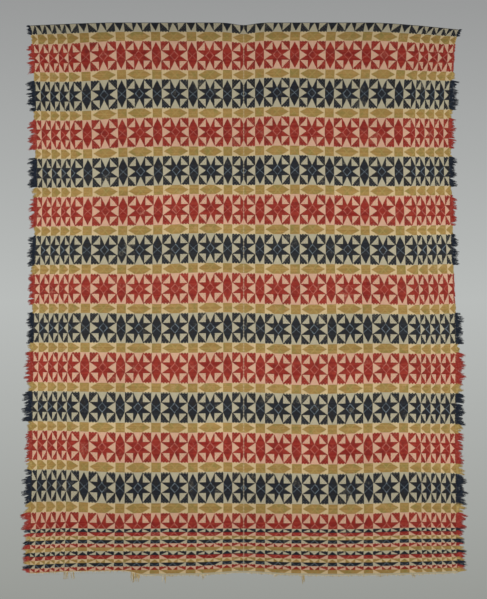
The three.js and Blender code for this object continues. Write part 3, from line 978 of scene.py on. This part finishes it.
def sleeve_cloth():
    """Unbleached plain-weave cotton: warm off-white, dry, with slubs and a fine even weave."""
    material, t = new_material("unbleached_cotton_sleeve")
    place = put(t, "TexCoord", out=3)
    slubs = put(t, "Mapping", place, at={"Scale": (30.0, 30.0, 400.0)})
    slubs = mottle(t, slubs, 1.0, 3.0)
    slubs = put(t, "MapRange", slubs, 0.35, 0.7, 0.0, 1.0)
    colour = blend(t, slubs, linear("#d6cbb0"), linear("#c6b898"))
    # Threads of 0.5 mm are drawn at 2 mm so that they show.
    warp = put(t, "TexWave", at={"Vector": place, "Scale": 157.0}, bands_direction="X")
    weft = put(t, "TexWave", at={"Vector": place, "Scale": 157.0}, bands_direction="Z")
    weave = maths(t, "ADD", warp.node.outputs[1], weft.node.outputs[1])
    bump = put(t, "Bump", at={"Height": weave, "Strength": 0.35, "Distance": 0.0004})
    look = {
        "Base Color": colour,
        "Roughness": 0.92,
        "Specular IOR Level": 0.25,
        "Sheen Weight": 0.1,
        "Normal": bump,
    }
    finish_with(t, put(t, "BsdfPrincipled", at=look))
    return material


SLEEVE_COTTON = sleeve_cloth()
SLEEVE_STITCH_PITCH = 8 * MM


def sleeve_outline(side):
    """The sleeve's outer section about the rod's axis: the distance out at any angle. It is flat
    against the cloth in front, and taut over the rod's top and back."""
    low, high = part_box(f"{side}_sleeve")
    front = low.y - ROD_AXIS.y
    around = high.y - ROD_AXIS.y
    top, foot = high.z - ROD_AXIS.z, low.z - ROD_AXIS.z
    over = math.atan2(top, front) - math.acos(around / math.hypot(front, top))
    under = math.atan2(foot, front) + math.acos(around / math.hypot(front, foot))

    def distance(angle):
        reach = around
        if angle > over:
            reach = around / math.cos(angle - over)
        elif angle < under:
            reach = around / math.cos(angle - under)
        ahead = math.cos(angle)
        if ahead < -1e-6:
            limit = front / ahead
            reach = min(reach, limit) if reach > 0 else limit
        return reach

    return distance, over, under


def sleeve_tube(side):
    low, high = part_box(f"{side}_sleeve")
    distance, over, under = sleeve_outline(side)
    top_corner = math.atan2(high.z - ROD_AXIS.z, low.y - ROD_AXIS.y)
    foot_corner = math.atan2(low.z - ROD_AXIS.z, low.y - ROD_AXIS.y)
    # Angles run from the foot's corner, round the back and over the top, to the top corner, and then
    # down the flat front.
    angles = [foot_corner + (under - foot_corner) * i / 10 for i in range(10)]
    angles += [under + (over - under) * i / 14 for i in range(14)]
    angles += [over + (top_corner - over) * i / 6 for i in range(6)]
    around_front = foot_corner + 2 * math.pi
    angles += [top_corner + (around_front - top_corner) * i / 8 for i in range(8)]
    thick = 1.3 * MM
    bm = bmesh.new()
    ring = bmesh.ops.create_circle(bm, segments=len(angles), radius=1)["verts"]
    for vert, angle in zip(ring, angles):
        wrapped = angle if angle <= math.pi else angle - 2 * math.pi
        reach = distance(wrapped)
        vert.co = (low.x, ROD_AXIS.y + reach * math.cos(angle), ROD_AXIS.z + reach * math.sin(angle))
    steps = 60
    edges = bm.edges[:]
    for _ in range(steps):
        grown = bmesh.ops.extrude_edge_only(bm, edges=edges)["geom"]
        verts = [part for part in grown if isinstance(part, bmesh.types.BMVert)]
        edges = [part for part in grown if isinstance(part, bmesh.types.BMEdge)]
        bmesh.ops.translate(bm, verts=verts, vec=((high.x - low.x) / steps, 0, 0))
    flat_front = low.y + 0.5 * MM
    for vert in bm.verts:
        sag = min(CLOTH_TOP - height(vert.co.x, 0), SLEEVE_SAG)
        near_cloth = smoothstep(ROD_AXIS.y - vert.co.y, 4 * MM, 16 * MM)
        vert.co.z -= sag * near_cloth * smoothstep(vert.co.z - ROD_AXIS.z, 0, 15 * MM)
        if vert.co.y > flat_front and vert.co.z < ROD_AXIS.z - 4 * MM:
            slack = noise.noise(Vector((vert.co.x * 22, vert.co.z * 30, 3.1)))
            ease = smoothstep(vert.co.y, flat_front, flat_front + 8 * MM)
            vert.co.y += (0.9 + 1.6 * slack) * ease * MM
            vert.co.z += 0.7 * noise.noise(Vector((vert.co.x * 14, 7.7, 0.2))) * ease * MM
    bmesh.ops.recalc_face_normals(bm, faces=bm.faces)
    middle = Vector(((low.x + high.x) / 2, ROD_AXIS.y, ROD_AXIS.z))
    outer = next(face for face in bm.faces if abs(face.calc_center_median().x - middle.x) < 0.02)
    if outer.normal.dot(outer.calc_center_median() - middle) < 0:
        bmesh.ops.reverse_faces(bm, faces=bm.faces)
    bmesh.ops.solidify(bm, geom=bm.faces[:], thickness=thick)
    for face in bm.faces:
        face.smooth = True
    for seam_z, lean in ((high.z, 1), (low.z, -1)):

        def place(share, seam_z=seam_z, lean=lean):
            x = low.x + share * (high.x - low.x)
            root = Vector((x, low.y + 1.4 * MM, seam_z))
            return root, Vector((1, 0, 0)), Vector((0, 0, lean))

        stitch_row(bm, place, round((high.x - low.x) / SLEEVE_STITCH_PITCH), 2.6 * MM, 1)
    return make_piece(f"{side}_hanging_sleeve", bm, [SLEEVE_COTTON, LINEN_THREAD], smooth_angle=45)


sleeves = {}
for side in SIDES:
    sleeves[side] = sleeve_tube(side)
    stands_for(sleeves[side], "coverlet", "sleeve_cotton", f"{side}_sleeve")

# ---- rod, caps, brackets and screws ------------------------------------------------------------------


def dowel_wood():
    """Planed beech dowel under a thin satin varnish: straight grain along its length with short
    darker flecks."""
    material, t = new_material("varnished_beech_dowel")
    place = put(t, "TexCoord", out=3)
    along = put(t, "Mapping", place, at={"Scale": (3.0, 180.0, 180.0)})
    grain = put(t, "TexNoise", at={"Vector": along, "Scale": 1.0, "Detail": 5.0, "Distortion": 0.4})
    flecks = put(t, "Mapping", place, at={"Scale": (60.0, 700.0, 700.0)})
    flecks = mottle(t, flecks, 1.0, 2.0)
    flecks = put(t, "MapRange", flecks, 0.58, 0.72, 0.0, 0.5)
    colour = blend(t, grain, linear("#c59c6c"), linear("#a87a49"))
    colour = blend(t, flecks, colour, linear("#7d5732"))
    rough = put(t, "MapRange", grain, 0.3, 0.7, 0.38, 0.52)
    bump = put(t, "Bump", at={"Height": grain, "Strength": 0.2, "Distance": 0.0003})
    look = {"Base Color": colour, "Roughness": rough, "IOR": 1.5, "Coat Weight": 0.25, "Normal": bump}
    finish_with(t, put(t, "BsdfPrincipled", at=look))
    return material


def plain_finish(name, low, high, roughness, metal=0.0, scale=40.0, grit=900.0, depth=0.0002):
    """A coated, moulded or plated surface: two near tones in soft patches, and a fine grit."""
    material, t = new_material(name)
    place = put(t, "TexCoord", out=3)
    patches = mottle(t, place, scale, 4.0)
    colour = blend(t, patches, linear(low), linear(high))
    fine = mottle(t, place, grit, 2.0)
    rough = put(t, "MapRange", fine, 0.3, 0.7, roughness - 0.06, roughness + 0.06)
    bump = put(t, "Bump", at={"Height": fine, "Strength": 0.25, "Distance": depth})
    look = {"Base Color": colour, "Roughness": rough, "Metallic": metal, "Normal": bump}
    finish_with(t, put(t, "BsdfPrincipled", at=look))
    return material


BEECH = dowel_wood()
# Powder coat on steel: even, slightly pebbled, with soft highlights.
POWDER_COAT = plain_finish("ivory_powder_coat", "#c9c6bd", "#d8d6cf", 0.42)
# Moulded polyethylene: dark, smooth and waxy.
POLYETHYLENE = plain_finish("moulded_polyethylene", "#2b2926", "#393632", 0.5, grit=600.0)
# Bright zinc plate on steel: a cool metal with faint clouding.
ZINC_PLATE = plain_finish("bright_zinc_plate", "#a9abad", "#c3c3bf", 0.32, metal=1.0, scale=300.0)


def round_rod():
    bm = bmesh.new()
    length = ROD[1].x - ROD[0].x
    bmesh.ops.create_cone(
        bm, cap_ends=True, segments=48, radius1=ROD_RADIUS, radius2=ROD_RADIUS, depth=length
    )
    rims = [edge for edge in bm.edges if abs(edge.verts[0].co.z - edge.verts[1].co.z) < MM]
    bmesh.ops.bevel(
        bm, geom=rims, offset=1.2 * MM, segments=3, profile=0.5, affect="EDGES", material=-1
    )
    turn = Matrix.Rotation(math.pi / 2, 3, "Y")
    bmesh.ops.rotate(bm, verts=bm.verts, cent=(0, 0, 0), matrix=turn)
    bmesh.ops.translate(bm, verts=bm.verts, vec=ROD_AXIS)
    return make_piece("round_rod", bm, [BEECH], smooth_angle=40)


def eased_copy(name, node, material, ease, crease=28):
    """A CAD part again, with its own faces merged and its sharp edges eased."""
    bm = bmesh.new()
    bm.from_mesh(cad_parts[node].data)
    bmesh.ops.remove_doubles(bm, verts=bm.verts, dist=0.01 * MM)
    bmesh.ops.dissolve_limit(
        bm, angle_limit=math.radians(1.5), verts=bm.verts[:], edges=bm.edges[:], use_dissolve_boundaries=False
    )
    sharp = [e for e in bm.edges if len(e.link_faces) == 2 and e.calc_face_angle() > math.radians(crease)]
    bmesh.ops.bevel(
        bm,
        geom=sharp,
        offset=ease,
        segments=2,
        profile=0.5,
        affect="EDGES",
        material=-1,
        clamp_overlap=True,
    )
    return make_piece(name, bm, [material], smooth_angle=crease)


rod = round_rod()
stands_for(rod, "rod", "rod_wood", "rod")
for side in SIDES:
    cap = eased_copy(f"{side}_end_cap", f"rod_cap_{side}", POLYETHYLENE, 0.5 * MM)
    stands_for(cap, "rod", "cap_plastic", f"rod_cap_{side}")
for where in ("left", "centre", "right"):
    bracket = eased_copy(f"{where}_wall_bracket", f"bracket_{where}", POWDER_COAT, 0.5 * MM)
    stands_for(bracket, "brackets", "bracket_paint", f"bracket_{where}")
    for row in ("upper", "lower"):
        node = f"screw_{where}_{row}"
        screw = eased_copy(f"{where}_{row}_slotted_screw", node, ZINC_PLATE, 0.15 * MM)
        stands_for(screw, "brackets", "screw_steel", node)

# ---- each panel's hems and fringes, with the seam and warp ends on the left, gathered into a list ----

for side in SIDES:
    along = [*hems[side], *fringes[side]]
    if side == "left":
        along += [seam, warp_ends]

# ---- the room ----------------------------------------------------------------------------------------

FLOOR_LEVEL = PANEL["left"][0].z - 0.42
ROOM_HALF_WIDTH = 6.0
WALL_FACE = 1 * MM
WALL_TOP = 2.2
SOFTBOX_SIZE = 2.0
FRONT_WATTS = 126
BACK_WATTS = 84


def glowing_wall():
    """A grey studio wall that glows instead of taking the lamps' light, its colour painted light: darker at
    the foot and the top and brightest at mid height. It is seen only from in front, so that it never hides
    the piece from behind."""
    material, t = new_material("grey_wall_painted_light")
    place = put(t, "TexCoord", out=3)
    level = put(t, "SeparateXYZ", place)
    height_up = put(t, "MapRange", level.node.outputs[2], -2.7, 0.2, 0.0, 1.0)
    tone = put(t, "ValToRGB", height_up)
    ramp = tone.node.color_ramp
    # Painted light: the wall's glow is darker at the foot and the top and brightest at mid height.
    ramp.elements[0].color = linear("#979994")
    ramp.elements[1].color = linear("#989999")
    middle = ramp.elements.new(0.5)
    middle.color = linear("#babdbb")
    # The wall glows with this painted light instead of taking the lamps' light.
    matt = put(t, "Emission", tone)
    clear = put(t, "BsdfTransparent")
    from_behind = put(t, "NewGeometry", out=6)
    finish_with(t, put(t, "MixShader", from_behind, matt, clear))
    return material


def pale_floor():
    material, t = new_material("pale_floor")
    place = put(t, "TexCoord", out=3)
    soft = mottle(t, place, 1.2, 3.0)
    colour = blend(t, soft, linear("#c9c9c6"), linear("#d3d3d0"))
    finish_with(t, put(t, "BsdfDiffuse", colour))
    return material


def flat_plane(name, corner_low, corner_high, material, upright):
    """A plane across X and either up Z, facing the viewer, or back along Y, facing up."""
    bm = bmesh.new()
    bmesh.ops.create_grid(bm, x_segments=1, y_segments=1, size=0.5)
    size = Vector(corner_high) - Vector(corner_low)
    stretch = Matrix.Diagonal((size.x, size.z if upright else size.y, 1, 1))
    bmesh.ops.transform(bm, matrix=stretch, verts=bm.verts)
    if upright:
        bmesh.ops.rotate(bm, verts=bm.verts, cent=(0, 0, 0), matrix=Matrix.Rotation(math.pi / 2, 3, "X"))
    bmesh.ops.translate(bm, verts=bm.verts, vec=(Vector(corner_low) + Vector(corner_high)) / 2)
    piece = make_piece(name, bm, [material])
    return piece


wall = flat_plane(
    "studio_wall",
    (-ROOM_HALF_WIDTH, WALL_FACE, FLOOR_LEVEL),
    (ROOM_HALF_WIDTH, WALL_FACE, WALL_TOP),
    glowing_wall(),
    upright=True,
)
wall.visible_shadow = False
wall.visible_diffuse = False
wall.visible_glossy = False
flat_plane(
    "studio_floor",
    (-ROOM_HALF_WIDTH, -ROOM_HALF_WIDTH, FLOOR_LEVEL),
    (ROOM_HALF_WIDTH, ROOM_HALF_WIDTH, FLOOR_LEVEL),
    pale_floor(),
    upright=False,
)


def soft_light(name, place, size, power, target):
    data = bpy.data.lights.new(name, "AREA")
    data.shape = "SQUARE"
    data.size = size
    data.energy = power
    light = bpy.data.objects.new(name, data)
    light.location = place
    light.rotation_euler = (Vector(target) - Vector(place)).to_track_quat("-Z", "Y").to_euler()
    scene.collection.objects.link(light)


middle = (0, 0, EYE_LEVEL)
for name, x in (("left_softbox", -3.6), ("right_softbox", 3.6)):
    soft_light(name, (x, -4.4, EYE_LEVEL + 0.25), SOFTBOX_SIZE, FRONT_WATTS, middle)
for name, x in (("left_back_softbox", -3.2), ("right_back_softbox", 3.2)):
    soft_light(name, (x, 4.4, EYE_LEVEL + 1.6), SOFTBOX_SIZE, BACK_WATTS, middle)

world = bpy.data.worlds.new("studio")
world.use_nodes = True
ambient = world.node_tree.nodes["Background"]
ambient.inputs["Color"].default_value = linear("#b4b6b5")
ambient.inputs["Strength"].default_value = 0.63
scene.world = world
scene.view_settings.view_transform = "Standard"
